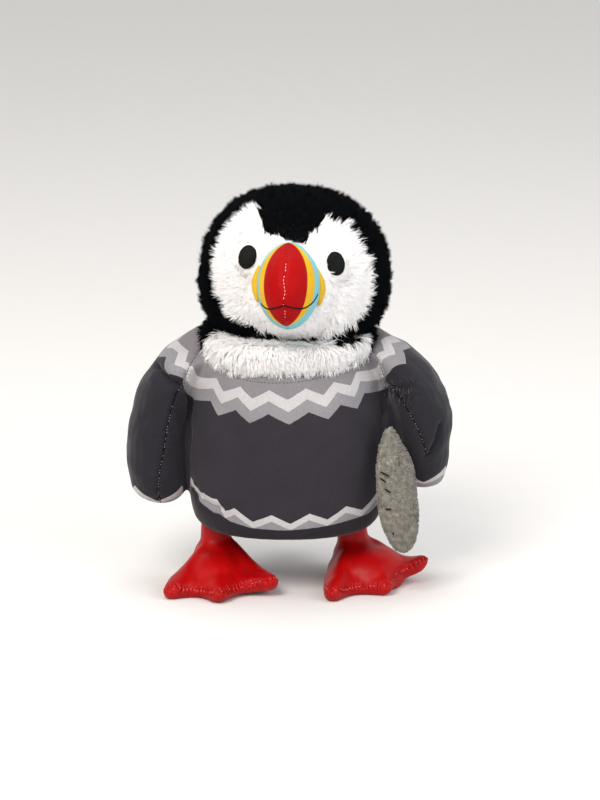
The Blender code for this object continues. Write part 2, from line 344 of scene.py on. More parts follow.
jumper = {
    # The sleeves' slate is a darker copy of the body's slate: painted shade, as the sleeves hang at the sides
    # in shadow
    "slate": "#2c292f", "shadedWingSlate": "#242328", "hemSlate": "#252227",
    "yokeGrey": "#777376", "white": "#adaaab", "paleGrey": "#7f7d80",
    "neckWidth": 56.0, "neckFront": 51.8, "neckBack": 43.0,
    "neckHeight": 167.0, "neckRise": (0.053, 0.36), "nape": 169.0,     # it rises to the left and back
    # Bands of the yoke: distance from the neck, and half the zigzag's height
    "bands": ((11.8, 3.1), (19.2, 3.6), (27.4, 3.4)),
    # Turns round the neck, in degrees from the front, and how many zigzags have passed there
    "bodyTurns": (0, 12, 22.4, 31.2, 40.9, 48.4, 62, 75, 88, 104, 123, 142, 161, 180),
    "bodyCounts": (0, 0.5, 1, 1.5, 2, 2.5, 3, 3.5, 4, 5, 6, 7, 8, 9),
    "wingTurns": (0, 12, 22.4, 31.2, 40.9, 48.4, 58.6, 65, 74, 88, 104, 123, 142, 161, 180),
    "wingCounts": (0, 0.5, 1, 1.5, 2, 2.5, 2.6, 3, 3.5, 4, 5, 6, 7, 8, 9),
    # How far the bands of the right and left sleeve miss the body's, and how much more so low down
    "sleeveShift": ((-1.2, 8.0), (1.6, 3.5)),
    # Turns round the hem and its height there, and how many zigzags have passed
    "hemTurns": (-180, -90, -70.6, -61, -50.9, -46, -37.8, -24.2, 0, 27.2, 41.3, 57.8, 71.4, 90, 180),
    "hemHeights": (56, 66, 66.6, 58.5, 54.8, 54.5, 51.2, 48, 47, 49.3, 51.4, 53, 58.2, 61, 56),
    "hemZigzag": (7.4, 2.9, 4.5), "hemStart": 2.7,
    "hemSteps": (-180, -84, -72, -60, -49, -44.5, -37, -25, 0, 24, 48, 72, 96, 180),
    "hemCounts": (7.5, 3.5, 3, 2.6, 2.5, 2, 1.5, 1, 0, 1, 2, 3, 4, 7.5),
    # The sleeves' ends: side, middle of the sleeve, and height of its zigzag. Then the zigzag's half height,
    # and how far the white reaches before a pale grey that is painted shade on the lower part of the ends
    "tips": ((-1, (-86.0, -3.0), 62.8), (1, (87.0, 1.0), 75.0)), "tipZigzag": (4.6, 4.2),
    # Where sleeve and body meet, right and left: distance from the middle and height
    "sleeveEdges": (
        ((-64.6, 116), (-64.0, 125), (-65.8, 133), (-68.2, 138.7), (-67.5, 143.6), (-64.3, 151.6),
         (-60.1, 156.5), (-56, 161.5), (-50, 170)),
        ((60.8, 114), (61.4, 127.6), (62, 138), (60.6, 143.5), (59.5, 148), (56.6, 155.1),
         (51, 163), (46, 170))),
    "gussets": (
        ((-67, -6, 106), (9, 12, 44), -3), ((-68, -6, 140), (9, 18, 12), 0),
        ((65.5, -12, 118), (8.5, 14, 27), 6), ((65, -6, 136), (9, 20, 16), 0),
        ((66, 8, 108), (10, 15, 36), 0), ((-67, 12, 108), (10, 13, 40), 0)),
}


def neckLine():
    # The oval round the neck that the yoke's bands follow, and each point's turn from the front
    turns = np.linspace(-180, 180, 1440, endpoint=False)
    side, front = np.sin(np.radians(turns)), np.cos(np.radians(turns))
    depth = np.where(front > 0, jumper["neckFront"], jumper["neckBack"])
    reach = ((abs(side) / jumper["neckWidth"]) ** 2.1 + (abs(front) / depth) ** 2.1) ** (-1 / 2.1)
    x, y = -2 + reach * side, -reach * front
    leftRise, backRise = jumper["neckRise"]
    z = np.minimum(jumper["neckHeight"] + leftRise * x + backRise * y, jumper["nape"])
    return np.stack([x, y, z], 1), turns


def printedCloth(name, lowerKind):
    # Brushed polyester jersey with a transfer print: matt, with a pale velvety edge and a fine knitted grain
    material, tree, shader = newMaterial(name, Roughness=0.85, Sheen_Weight=0.12, Sheen_Roughness=0.4,
                                         Specular_IOR_Level=0.1)
    coords = addNode(tree, "TexCoord").outputs["Object"]
    wander = addNode(tree, "TexNoise", {"Vector": coords, "Scale": 260.0, "Detail": 2.0})
    wobble = addNode(tree, "Math", {0: wander, 1: 0.5}, operation="SUBTRACT")

    def zigzag(attribute):
        count = addNode(tree, "Attribute", attribute_name=attribute).outputs["Fac"]
        near = addNode(tree, "Math", {0: count}, operation="ROUND")
        off = addNode(tree, "Math", {0: count, 1: near}, operation="SUBTRACT")
        size = addNode(tree, "Math", {0: off}, operation="ABSOLUTE")
        return addNode(tree, "Math", {0: size, 1: -4.0, 2: 1.0}, operation="MULTIPLY_ADD")

    def paint(under, over, distance, wave, mean, height):
        # Colour changes where the distance passes mean + height * wave
        edge = addNode(tree, "Math", {0: wave, 1: height, 2: mean}, operation="MULTIPLY_ADD")
        edge = addNode(tree, "Math", {0: wobble, 1: 0.6, 2: edge}, operation="MULTIPLY_ADD")
        beyond = addNode(tree, "Math", {0: distance, 1: edge}, operation="SUBTRACT")
        share = addNode(tree, "MapRange", {0: beyond, 1: -0.15, 2: 0.15}, clamp=True)
        return addNode(tree, "MixRGB", {"Fac": share, "Color1": under, "Color2": over})

    out = addNode(tree, "Attribute", attribute_name="yokeOut").outputs["Fac"]
    wave = zigzag("yokeCount")
    # Sleeves take the darker slate, which is painted shade
    cloth = "slate" if lowerKind == "hem" else "shadedWingSlate"
    colour = linear(jumper["yokeGrey"])
    for over, (mean, height) in zip(("white", "paleGrey", cloth), jumper["bands"]):
        colour = paint(colour, linear(jumper[over]), out, wave, mean, height)

    low = addNode(tree, "Attribute", attribute_name="lowOut").outputs["Fac"]     # grows downwards
    lowWave = zigzag("lowCount")
    if lowerKind == "hem":
        mean, height, thick = jumper["hemZigzag"]
        bands = (("white", -mean, height), ("paleGrey", thick - mean, height), ("hemSlate", 0.0, 0.0))
    else:
        height, thick = jumper["tipZigzag"]
        # The pale grey below the white is painted shade on the lower part of the sleeve's end
        bands = (("white", 0.0, height), ("paleGrey", thick, height * 0.5))
    for over, mean, height in bands:
        colour = paint(colour, linear(jumper[over]), low, lowWave, mean, height)

    blotch = addNode(tree, "TexNoise", {"Vector": coords, "Scale": 35.0, "Detail": 4.0})
    tone = addNode(tree, "MapRange", {0: blotch, 1: 0.3, 2: 0.7, 3: 0.93, 4: 1.07})
    grain = addNode(tree, "TexNoise", {"Vector": coords, "Scale": 900.0, "Detail": 2.0})
    fine = addNode(tree, "MapRange", {0: grain, 1: 0.25, 2: 0.75, 3: 0.9, 4: 1.1})
    both = addNode(tree, "Math", {0: tone, 1: fine}, operation="MULTIPLY")
    colour = addNode(tree, "VectorMath", {0: colour, "Scale": both}, operation="SCALE")
    # The real knit has loops of 0.3 mm; drawn at 1.1 mm so that it shows
    bump = addNode(tree, "Bump", {"Height": grain, "Strength": 0.35, "Distance": 0.0004})
    wire(tree, shader, colour, gathered(tree, coords, bump))
    return material


def distanceTo(node, points):
    # Distance of each point from a CAD node
    bm = bmesh.new()
    bm.from_mesh(nodes[node].data)
    tree = BVHTree.FromBMesh(bm)
    bm.free()
    return np.array([tree.find_nearest(Vector(spot))[3] for spot in toWorld(points)]) / mm


def sleeveBorder(piece, sleeve):
    # How far each vertex is from the line where sleeve and body meet
    edges = np.zeros(len(piece.data.edges) * 2, int)
    piece.data.edges.foreach_get("vertices", edges)
    edges = edges.reshape(-1, 2)
    ends = np.unique(edges[sleeve[edges[:, 0]] != sleeve[edges[:, 1]]])
    points, _ = readPoints(piece)
    tree = kdtree.KDTree(len(ends))
    for end in ends:
        tree.insert(points[end], int(end))
    tree.balance()
    return np.array([tree.find(point)[2] for point in points])


# Where the cloth is sewn: points along each seam
seams = {
    "raglanRight": ((-56, -10, 161.5), (-60.1, -20.2, 156.5), (-64.3, -33.3, 151.6), (-67.5, -35.8, 143.6),
                    (-68.2, -34.9, 138.7)),
    "raglanLeft": ((51, -20, 163), (56.6, -34.2, 155.1), (59.5, -34, 148), (60.6, -32.5, 143.5),
                   (62, -33, 138.0)),
    "backRight": ((-56, 12, 163), (-60, 22, 156.5), (-64, 31, 150), (-66, 32, 143.6), (-67, 31, 138.7)),
    "backLeft": ((52, 14, 163), (57, 26, 155), (61, 30, 148), (64, 29, 138.0)),
    "wingRight": ((-70.5, -36, 137.5), (-73.3, -36.3, 133.1), (-76.6, -35.9, 122.4), (-79.4, -34.8, 108.9),
                  (-81.5, -34, 95.3), (-84.2, -33.2, 81.8), (-85.7, -29.6, 67.4), (-84.6, -26.2, 58.0)),
    "wingLeft": ((66, -38, 138), (70.8, -40.4, 131.5), (79.1, -43.3, 118.3), (85.8, -40.2, 102.9),
                 (88.5, -35.5, 92)),
}
armFold = ((60, -33, 139), (66, -38, 137.5), (74, -42, 138), (81, -43, 141))

# Folds in the cloth: where each runs, its width, and its depth, which is negative for a ridge.
# Creased ones also have the creases' pucker, pitch, reach and seed
folds = (
    # Round the arms
    (((-88, -16, 149.5), (-83.9, -24.8, 145.5), (-75.8, -36.5, 141), (-66.5, -36.5, 137)), 1.9, 4.2),
    (((-91, -17, 141), (-83, -33, 135.5), (-75, -38, 132.5)), 4.0, -1.2),
    (((-68.2, -34, 138), (-65.8, -30, 133), (-64.2, -28, 125), (-64.8, -26, 116), (-65, -24, 96)), 1.6, 3.0),
    (((62, -33, 137.5), (61.4, -30, 127.6), (61, -28, 114)), 1.6, 4.0),
    (((-76, -36, 129), (-90, -32, 119), (-99, -22, 110)), 4.5, 1.0),
    (((-70, -36, 134), (-72, -36, 124), (-72, -33, 112)), 3.5, 1.2),
    (armFold, 2.0, 3.2, 1.0, 5.5, 5.0, 8),
    (((63, -36, 135), (72, -42, 132), (80, -43, 131)), 2.2, 1.4, 0.9, 6, 4.5, 9),
    # Where the left wing holds the fish
    (((86.5, -34, 88), (90, -35, 91.4), (95, -37, 101), (98.5, -37, 116)), 2.6, 3.4),
    # On the chest
    (((-60, -26, 134), (-50, -43, 128), (-38, -51, 124)), 4.5, 0.7),
    (((59, -24, 134), (50, -40, 130), (40, -48, 126)), 4.5, 0.7),
    # At the hem
    (((-64, -20, 66), (-52, -40, 60), (-40, -47, 58)), 2.2, 1.4, 0.5, 6, 6, 23),
    (((-60, -30, 58), (-50, -42, 54.5), (-36, -48, 54)), 1.8, 0.9),
)

cad = copyNodes("jumper", "trunk", "wing_left", "wing_right", gussets=jumper["gussets"])
garment = remesh(cad, voxel=1.2, smoothing=8, swell=0.25)
points, _ = readPoints(garment)
toWings = np.minimum(distanceTo("wing_left", points), distanceTo("wing_right", points))
sleeve = toWings < distanceTo("trunk", points) - 1.0
border = sleeveBorder(garment, sleeve)

# Extra smoothing on the shoulders, in the crooks under the arms, and on the plain front and back,
# fading over some millimetres from the sleeves' borders
shoulder = np.exp(-(border / 9) ** 2) * ease(points[:, 2], 132, 141)
crook = np.exp(-(border / 3.5) ** 2) * (1 - ease(points[:, 2], 128, 136))
plain = np.where(sleeve, 0.0, 0.9) * ease(border, 4, 12) * ease(points[:, 2], 42, 52)
for name, share, rounds in (("shoulder", shoulder, 60), ("crook", crook, 8), ("plain", plain, 80)):
    group = garment.vertex_groups.new(name=name)
    for number in np.flatnonzero(share > 0.02):
        group.add([int(number)], float(share[number]), "REPLACE")
    blend = garment.modifiers.new(name, "SMOOTH")
    blend.factor, blend.iterations, blend.vertex_group = 0.5, rounds, name
settle(garment)

# Soft lumps of stuffing, none at the hem or where the sleeves join
points, normals = readPoints(garment)
lumps = 0.5 * waves(points, 45, 5) + 0.22 * waves(points, 14, 6) + 0.35 * sleeve * waves(points, 24, 21)
calm = ease(points[:, 2], 36, 60) * ease(border, 1, 9)
writePoints(garment, points - normals * (0.3 * ease(border, 1, 9) + lumps * calm)[:, None])

points, normals = readPoints(garment)
rightEdge, leftEdge = (np.interp(points[:, 2], *np.array(edge)[:, ::-1].T) for edge in jumper["sleeveEdges"])
sleeve = np.where(points[:, 2] > 118, (points[:, 0] < rightEdge) | (points[:, 0] > leftEdge), sleeve)
for number, name in enumerate(("raglanRight", "raglanLeft", "backRight", "backLeft")):
    pressSeam(garment, seams[name], 1.1, 0.9, pucker=0.3, pitch=4.0, reach=4.5, seed=11 + number,
              heading=fromBack if "back" in name else fromFront)
for name in ("wingRight", "wingLeft"):
    pressSeam(garment, seams[name], 1.3, 1.6, pucker=0.55, pitch=4.2, reach=6, seed=31)
    inside = [(x, -y - 4, z) for x, y, z in seams[name]]
    pressSeam(garment, inside, 1.3, 1.2, pucker=0.4, pitch=4.6, reach=6, seed=33, heading=fromBack)
for fold in folds:
    pressSeam(garment, *fold)
neck, neckTurns = neckLine()
neckSeam = (neck[abs(neckTurns) < 70] + np.array((0, -0.6, -4.0)))[::8]
pressSeam(garment, neckSeam, 0.9, 0.45, pucker=0.12, pitch=3.0, reach=3.0, seed=19)

# What the print reads at each vertex: how far out from the neck and down from the hem it is,
# and how many zigzags along
points, _ = readPoints(garment)
distance, index = nearest(points, neck)
bodyCount = np.interp(abs(neckTurns[index]), jumper["bodyTurns"], jumper["bodyCounts"])
wingCount = np.interp(abs(neckTurns[index]), jumper["wingTurns"], jumper["wingCounts"])
low = 1 - ease(points[:, 2], 138, 150)
(rightShift, rightMore), (leftShift, leftMore) = jumper["sleeveShift"]
shift = np.where(points[:, 0] > 0, leftShift + leftMore * low, rightShift + rightMore * low)
writeValue(garment, "yokeOut", distance + np.where(sleeve, shift, 0.0))
writeValue(garment, "yokeCount", np.where(sleeve, wingCount, bodyCount))
turns = np.degrees(np.arctan2(points[:, 0] + 2, -points[:, 1]))
lowOut = np.interp(turns, jumper["hemTurns"], jumper["hemHeights"]) - points[:, 2]
lowCount = np.interp((turns - jumper["hemStart"] + 180) % 360 - 180, jumper["hemSteps"], jumper["hemCounts"])
for side, axis, height in jumper["tips"]:
    mine = sleeve & (points[:, 0] * side > 0)
    bearing = np.degrees(np.arctan2(points[:, 0] - axis[0], -(points[:, 1] - axis[1])))
    lowOut = np.where(mine, height - points[:, 2], lowOut)
    lowCount = np.where(mine, abs(bearing) / 90, lowCount)
# The crook between sleeve and body stays slate
lowOut = np.where((border < 3.5) & (points[:, 2] > 56), -30.0, lowOut)
writeValue(garment, "lowOut", lowOut)
writeValue(garment, "lowCount", lowCount)
# The cloth is gathered below the left arm's fold and beside the seams: line, heading, reach and strength
sewn = ("wingRight", "wingLeft", "raglanRight", "raglanLeft")
gathers = [(armFold, fromFront, 5.0, 1.0)]
gathers += [(((62, -36, 134.5), (72, -42, 132), (80, -43, 131)), fromFront, 3.5, 0.8)]
gathers += [(seams[name], fromFront, 3.0, 0.4) for name in sewn]
writeGathers(garment, gathers)
covered = ["trunk", "wing_left", "wing_right"]
dress(garment, printedCloth("printedJerseyBody", "hem"), covered)
garment.data.materials.append(printedCloth("printedJerseyWing", "tip"))
corners = np.zeros(len(garment.data.loops), int)
garment.data.loops.foreach_get("vertex_index", corners)
starts = np.zeros(len(garment.data.polygons), int)
garment.data.polygons.foreach_get("loop_start", starts)
garment.data.polygons.foreach_set("material_index", sleeve[corners[starts]].astype(int))
print("jumper done", len(garment.data.polygons))


def thread(name, colour, **finish):
    # Polyester sewing thread: round, slightly glossy, in a tone that shows on the cloth it holds. Lines sunk
    # into the seams use these materials as painted shade
    return newMaterial(name, Base_Color=linear(colour), **finish)[0]


threadGrey = thread("polyesterThreadGrey", "#8b8890", Roughness=0.45)
# Slate lines sunk into the raglan seams: painted shade of their grooves
raglanGrooveShade = thread("paintedRaglanSeamShade", "#4a474e", Roughness=0.6)
# Dark thread for the neck, the mouth and the fish's marks; as lines sunk into the wing seams it is painted
# shade of their grooves
darkThreadAndSeamShade = thread("polyesterThreadDarkAndSeamShade", "#0c0b0e", Roughness=0.6, Specular_IOR_Level=0.1)
threadRed = thread("polyesterThreadRed", "#e06a63", Roughness=0.35)
threadPink = thread("polyesterThreadPink", "#e2a19b", Roughness=0.3)

lines = [seams[name] for name in sewn]
# Dark lines sunk into the wing seams: painted shade of the seam grooves
dress(threadPiece("wingSeamShadeLines", garment, lines[:2], radius=0.45, proud=-0.15), darkThreadAndSeamShade)
# Slate lines sunk into the raglan seams: painted shade of the seam grooves
dress(threadPiece("raglanSeamShadeLines", garment, lines[2:], radius=0.3, proud=-0.1), raglanGrooveShade)
bm = bmesh.new()
for line, gaps in zip(lines, (0.45, 0.45, 0.1, 0.1)):
    sewLine(bm, garment, line, pitch=2.0, length=1.2, radius=0.2, proud=0.3, seed=5, gaps=gaps)
dress(fromBmesh("sleeveStitches", bm), threadGrey)
bm = bmesh.new()
sewLine(bm, garment, neckSeam, pitch=2.4, length=1.5, radius=0.2, proud=0.02, seed=6)
dress(fromBmesh("neckStitches", bm), darkThreadAndSeamShade)
print("sewing done")


# Red satin feet

feet = {
    "red": "#a40204", "deepRed": "#740103", "narrower": 0.065, "webDip": 0.7, "toeRise": 0.6, "ripple": 0.4,
    "footRight": {
        "nodes": ("foot_right", "leg_right"), "ankle": (-47, 3),
        "toes": ((-83, -56), (-46, -66), (-5.5, -52)),
        "gussets": (((-49.2, -3, 30), (9.8, 11, 26), 0), ((-48.5, -16, 8), (21, 31, 16), 0),
                    ((-49, -5, 16), (15, 17, 14), 0))},
    "footLeft": {
        "nodes": ("foot_left", "leg_left"), "ankle": (43, 3),
        "toes": ((24.5, -62), (66, -48), (95, -17)),
        "gussets": (((41.2, -3, 30), (9.8, 11, 26), 0), ((51, -13, 8), (27, 28, 17), 0),
                    ((43, -5, 16), (15, 17, 14), 0))},
}


def satin(name, colour, deep, roughness=0.44, rumpled=1.5):
    # Polyester satin: floats of bright yarn give a soft streaky gloss along one direction
    material, tree, shader = newMaterial(name, Roughness=roughness, Specular_IOR_Level=0.18)
    coords = addNode(tree, "TexCoord").outputs["Object"]
    mottle = addNode(tree, "TexNoise", {"Vector": coords, "Scale": 60.0, "Detail": 4.0})
    share = addNode(tree, "MapRange", {0: mottle, 1: 0.35, 2: 0.75, 3: 0.0, 4: 0.45})
    shade = addNode(tree, "MixRGB", {"Fac": share, "Color1": linear(colour), "Color2": linear(deep)})
    # The real floats are 0.1 mm wide; drawn at 0.9 mm so that they show
    stretched = addNode(tree, "Mapping", {"Vector": coords, "Scale": (1, 0.3, 1)})
    weave = addNode(tree, "TexNoise", {"Vector": stretched, "Scale": 1100.0, "Detail": 2.0})
    rumple = addNode(tree, "TexNoise", {"Vector": coords, "Scale": 110.0, "Detail": 3.0})
    total = addNode(tree, "Math", {0: rumple, 1: rumpled, 2: weave}, operation="MULTIPLY_ADD")
    bump = addNode(tree, "Bump", {"Height": total, "Strength": 0.35, "Distance": 0.0003})
    wire(tree, shader, shade, gathered(tree, coords, bump))
    return material


redSatin = satin("redSatin", feet["red"], feet["deepRed"])
rims = []
for name in ("footRight", "footLeft"):
    plan = feet[name]
    ankle = np.array(plan["ankle"], float)
    cad = copyNodes(name, plan["nodes"][0], gussets=plan["gussets"])
    foot = remesh(cad, voxel=1.2, smoothing=26, swell=0.5)
    points, normals = readPoints(foot)
    flat = points[:, :2] - ankle
    bearings = np.degrees(np.arctan2(flat[:, 0], -flat[:, 1]))
    reach = np.linalg.norm(flat, axis=1)
    sink = 0.2 + 0.1 * waves(points, 12, 41) + 0.3 * waves(points, 30, 42)
    upper = ease(normals[:, 2], -0.1, 0.5) * ease(reach, 12, 30)
    toeTurns = [math.degrees(math.atan2(x - ankle[0], -(y - ankle[1]))) for x, y in plan["toes"]]
    for first, second in zip(toeTurns, toeTurns[1:]):
        between = (first + second) / 2     # where the web dips
        sink += feet["webDip"] * np.exp(-((bearings - between) / 10) ** 2) * upper * ease(reach, 35, 55)
    for turn in toeTurns:
        sink -= feet["toeRise"] * np.exp(-((bearings - turn) / 9) ** 2) * upper * ease(reach, 35, 55)
    ripples = np.sin(np.radians(bearings) * 26 + waves(points, 25, 43) * 2)
    sink += feet["ripple"] * ripples * ease(reach, 35, 60) * upper
    sink *= ease(points[:, 2], 0.5, 4)
    points -= normals * sink[:, None]
    points[:, 2] = np.maximum(points[:, 2], 0.0)
    points[:, 0] -= (points[:, 0] - ankle[0]) * feet["narrower"] * ease(reach, 15, 50)
    writePoints(foot, points)
    # The seam runs round the front, just above the rim
    front = np.arange(toeTurns[0] - 8, toeTurns[-1] + 9, 2.0)
    rim = np.array([points[np.where(abs(bearings - turn) < 1.6, reach, 0).argmax()] for turn in front])
    rim[1:-1] = (rim[:-2] + rim[1:-1] * 2 + rim[2:]) / 4
    rim += np.array((0, 0, 1.5)) - np.append((rim[:, :2] - ankle) * 0.02, np.zeros((len(rim), 1)), 1)
    pressSeam(foot, rim, 1.2, 0.7, pucker=0.25, pitch=4.2, reach=4.0, seed=44, heading=downwards)
    writeGathers(foot, [(rim, downwards, 3.2, 0.5)])
    rims.append((foot, rim))
    dress(foot, redSatin, plan["nodes"])
bm = bmesh.new()
for foot, rim in rims:
    sewLine(bm, foot, rim, pitch=2.4, length=1.3, radius=0.28, proud=0.2, seed=9, gaps=0.45,
            heading=downwards)
dress(fromBmesh("rimStitches", bm), threadRed)
print("feet done")


# Bill: satin printed with bands

bill = {
    "red": "#960305", "yellow": "#d2a41d", "blue": "#74b6bd",
    "middle": (-0.5, -54.5, 208.5), "half": (20.5, 38.5, 28.0), "turn": -4.5,
    "redWidth": 13.7, "yellowWidth": 17.6, "goreHeight": 26.5, "goreTilt": 13.5,
    "roundness": 2.2, "arch": 0.65,     # powers that shape the gores' edges
    "wander": 0.3, "edgeSoftness": 0.12,
    # The mouth's thread: turn from the ridge, and height from the middle
    "mouth": ((-62, -9.0), (-50, -10.2), (-36, -10.2), (-20, -8.4), (-2, -5.8), (5, -6.2), (18, -7.9),
              (34, -9.3), (48, -9.0), (60, -7.2), (70, -4.8), (75, -3.4)),
    "rosettes": ((-19.9, 209.3, 3), (18.3, 207.0, -3)), "rosetteHalf": (4.4, 4.5, 12.0),
}


def bandedSatin():
    # The same satin, printed red, yellow and pale blue in gores that meet above and below
    material, tree, shader = newMaterial("bandedSatin", Roughness=0.5, Specular_IOR_Level=0.07)
    coords = addNode(tree, "TexCoord").outputs["Object"]
    turned = (0, 0, math.radians(bill["turn"]))
    onBill = {"Vector": coords, "Location": place(*bill["middle"]), "Rotation": turned}
    local = addNode(tree, "Mapping", onBill, vector_type="TEXTURE")
    across, depth, height = addNode(tree, "SeparateXYZ", {0: local}).outputs
    # Each gore's edge is an arch from the upper point to the lower one, so a width at mid height names it
    lean, gore = math.radians(bill["goreTilt"]), bill["goreHeight"] * mm
    level = addNode(tree, "Math", {0: height, 1: math.cos(lean) / gore}, operation="MULTIPLY")
    level = addNode(tree, "Math", {0: depth, 1: math.sin(lean) / gore, 2: level}, operation="MULTIPLY_ADD")
    level = addNode(tree, "Math", {0: level}, operation="ABSOLUTE")
    level = addNode(tree, "Math", {0: level, 1: bill["roundness"]}, operation="POWER")
    room = addNode(tree, "Math", {0: 1.0, 1: level}, operation="SUBTRACT", use_clamp=True)
    room = addNode(tree, "Math", {0: room, 1: bill["arch"]}, operation="POWER")
    room = addNode(tree, "Math", {0: room, 1: 0.0005}, operation="ADD")     # never quite nothing
    side = addNode(tree, "Math", {0: across}, operation="ABSOLUTE")
    width = addNode(tree, "Math", {0: side, 1: room}, operation="DIVIDE")
    wander = addNode(tree, "TexNoise", {"Vector": coords, "Scale": 120.0, "Detail": 2.0})
    width = addNode(tree, "Math", {0: wander, 1: bill["wander"] * mm, 2: width}, operation="MULTIPLY_ADD")
    colour = linear(bill["red"])
    for limit, following in (("redWidth", "yellow"), ("yellowWidth", "blue")):
        edge, soft = (bill[limit] + bill["wander"] / 2) * mm, bill["edgeSoftness"] * mm
        past = addNode(tree, "MapRange", {0: width, 1: edge - soft, 2: edge + soft})
        colour = addNode(tree, "MixRGB", {"Fac": past, "Color1": colour, "Color2": linear(bill[following])})
    # The edge that is turned in towards the face is blue too
    facing = addNode(tree, "SeparateXYZ", {0: coords.node.outputs["Normal"]})
    back = addNode(tree, "MapRange", {0: facing.outputs[1], 1: 0.15, 2: 0.4})
    colour = addNode(tree, "MixRGB", {"Fac": back, "Color1": colour, "Color2": linear(bill["blue"])})
    weave = addNode(tree, "TexNoise", {"Vector": coords, "Scale": 1000.0, "Detail": 2.0})
    bump = addNode(tree, "Bump", {"Height": weave, "Strength": 0.25, "Distance": 0.0002})
    wire(tree, shader, colour, gathered(tree, coords, bump))
    return material


def billPoint(turn, height):
    # A point on the bill at a turn from its ridge and a height from its middle
    squeeze = math.sqrt(max(0.0, 1 - (height / bill["half"][2]) ** 2))
    x = bill["half"][0] * math.sin(math.radians(turn)) * squeeze
    y = -bill["half"][1] * math.cos(math.radians(turn)) * squeeze
    spot = Matrix.Rotation(math.radians(bill["turn"]), 3, "Z") @ Vector((x, y, height))
    return tuple(spot + Vector(bill["middle"]))


def ridgeLine(top, foot, count):
    # Down the ridge, wandering a little as a turned seam does
    return [billPoint(1.5 * math.sin(height * 0.45), height) for height in np.linspace(top, foot, count)]


beak = remesh(copyNodes("beak", "bill"), voxel=0.8, smoothing=12)
ridge = ridgeLine(27, -27, 28)
points, normals = readPoints(beak)
writePoints(beak, points - normals * (0.15 + 0.2 * waves(points, 14, 51))[:, None])
pressSeam(beak, ridge, 1.1, 0.9, pucker=0.06, pitch=3.0, reach=3.5, seed=52)
writeGathers(beak, [(ridge, fromFront, 2.2, 0.2)])
dress(beak, bandedSatin(), ["bill"])
bm = bmesh.new()
sewLine(bm, beak, ridgeLine(19, -18, 14), pitch=2.3, length=1.7, radius=0.28, proud=0.12, seed=7, gaps=0.25)
dress(fromBmesh("ridgeStitches", bm), threadPink)
mouth = [billPoint(*stop) for stop in bill["mouth"]]
dress(threadPiece("mouthThread", beak, [mouth], radius=0.55, drop=False), darkThreadAndSeamShade)

# Gape rosettes: small folds of the same yellow satin at the corners of the bill
yellowSatin = satin("yellowSatin", "#d0a51d", "#b38c14", 0.5, rumpled=4.0)
bm = bmesh.new()
for x, z, lean in bill["rosettes"]:
    lobe = bmesh.ops.create_uvsphere(bm, u_segments=28, v_segments=18, radius=1)["verts"]
    for vert in lobe:
        vert.co.x *= 1 - 0.55 * vert.co.z ** 2          # pointed above and below, like a folded petal
    turn = Matrix.Rotation(math.radians(lean), 4, "Y")
    size = Matrix.Diagonal((*[half * mm for half in bill["rosetteHalf"]], 1))
    bmesh.ops.transform(bm, verts=lobe, matrix=Matrix.Translation(place(x, -55.0, z)) @ turn @ size)
dress(fromBmesh("gapeRosettes", bm), yellowSatin)
print("bill done")


# Eyes: satin stitch

eyes = {
    "dark": "#050606", "light": "#171a18", "proud": 0.6, "threadGap": 0.8, "threadHeight": 0.1,
    "spots": ((-27.7, -51.0, 226.0), (29.9, -49.0, 222.0)),
    # No pile grows inside the first of these ovals, and it is short at the second: half width and half height
    "bareHalf": (6.1, 7.7), "shortHalf": (6.0, 7.5),
}


def stitchedEye():
    # Rayon embroidery thread laid side by side: dark, with a soft streak of gloss across the threads
    material, tree, shader = newMaterial("satinStitchBlack", Roughness=0.45, Specular_IOR_Level=0.07)
    coords = addNode(tree, "TexCoord").outputs["Object"]
    grain = addNode(tree, "TexNoise", {"Vector": coords, "Scale": 500.0, "Detail": 3.0})
    dark, light = linear(eyes["dark"]), linear(eyes["light"])
    wire(tree, shader, addNode(tree, "MixRGB", {"Fac": grain, "Color1": dark, "Color2": light}))
    return material


eyeStitch = stitchedEye()
for side, node in (("eyeRight", "eye_right"), ("eyeLeft", "eye_left")):
    eye = copyNodes(side, node)
    finer = eye.modifiers.new("finer", "SUBSURF")
    finer.levels = finer.render_levels = 3
    settle(eye)
    points, normals = readPoints(eye)
    # The real threads are 0.3 mm apart; drawn at 0.8 mm so that they show
    ripple = np.sin(2 * math.pi * (points[:, 0] * 0.8 + points[:, 2] * 0.35) / eyes["threadGap"])
    writePoints(eye, points + normals * (eyes["proud"] + eyes["threadHeight"] * ripple)[:, None])
    dress(eye, eyeStitch, [node])
print("eyes done")


# Fur of the head

head = {
    "middle": (2.4, -1.0, 206.5), "tilt": 4.0, "turn": -3.0, "tufts": 92000, "quickTufts": 30000,
    "pile": 9.0, "shortPile": 4.0, "depth": 6.8, "shortDepth": 2.2, "shift": (0.9, 0.0, -1.4),
    # Where the white of the face ends, going round it: turn and rise from the middle of the head
    "face": ((-4.3, 31), (-24, 36), (-35, 46), (-49, 54), (-61, 52), (-63, 39), (-64.5, 27), (-61, 4),
             (-53.5, -10), (-43, -23.5), (-22, -34), (1, -39), (25, -36), (43, -27.5), (55, -14), (64, 1),
             (58, 14), (56, 29), (53, 43), (31, 50), (15, 38), (8, 30)),
}
headTurn = np.array((Matrix.Rotation(math.radians(head["turn"]), 3, "Z")
                     @ Matrix.Rotation(math.radians(head["tilt"]), 3, "Y")).to_3x3())
frontOnly = -25     # fur behind this takes no notice of the bill and the eyes


def headAngles(points):
    # Turn from the front of the head and rise above its middle, in degrees
    local = (points - np.array(head["middle"])) @ headTurn
    turn = np.degrees(np.arctan2(local[:, 0], -local[:, 1]))
    rise = np.degrees(np.arctan2(local[:, 2], np.hypot(local[:, 0], local[:, 1])))
    return turn, rise


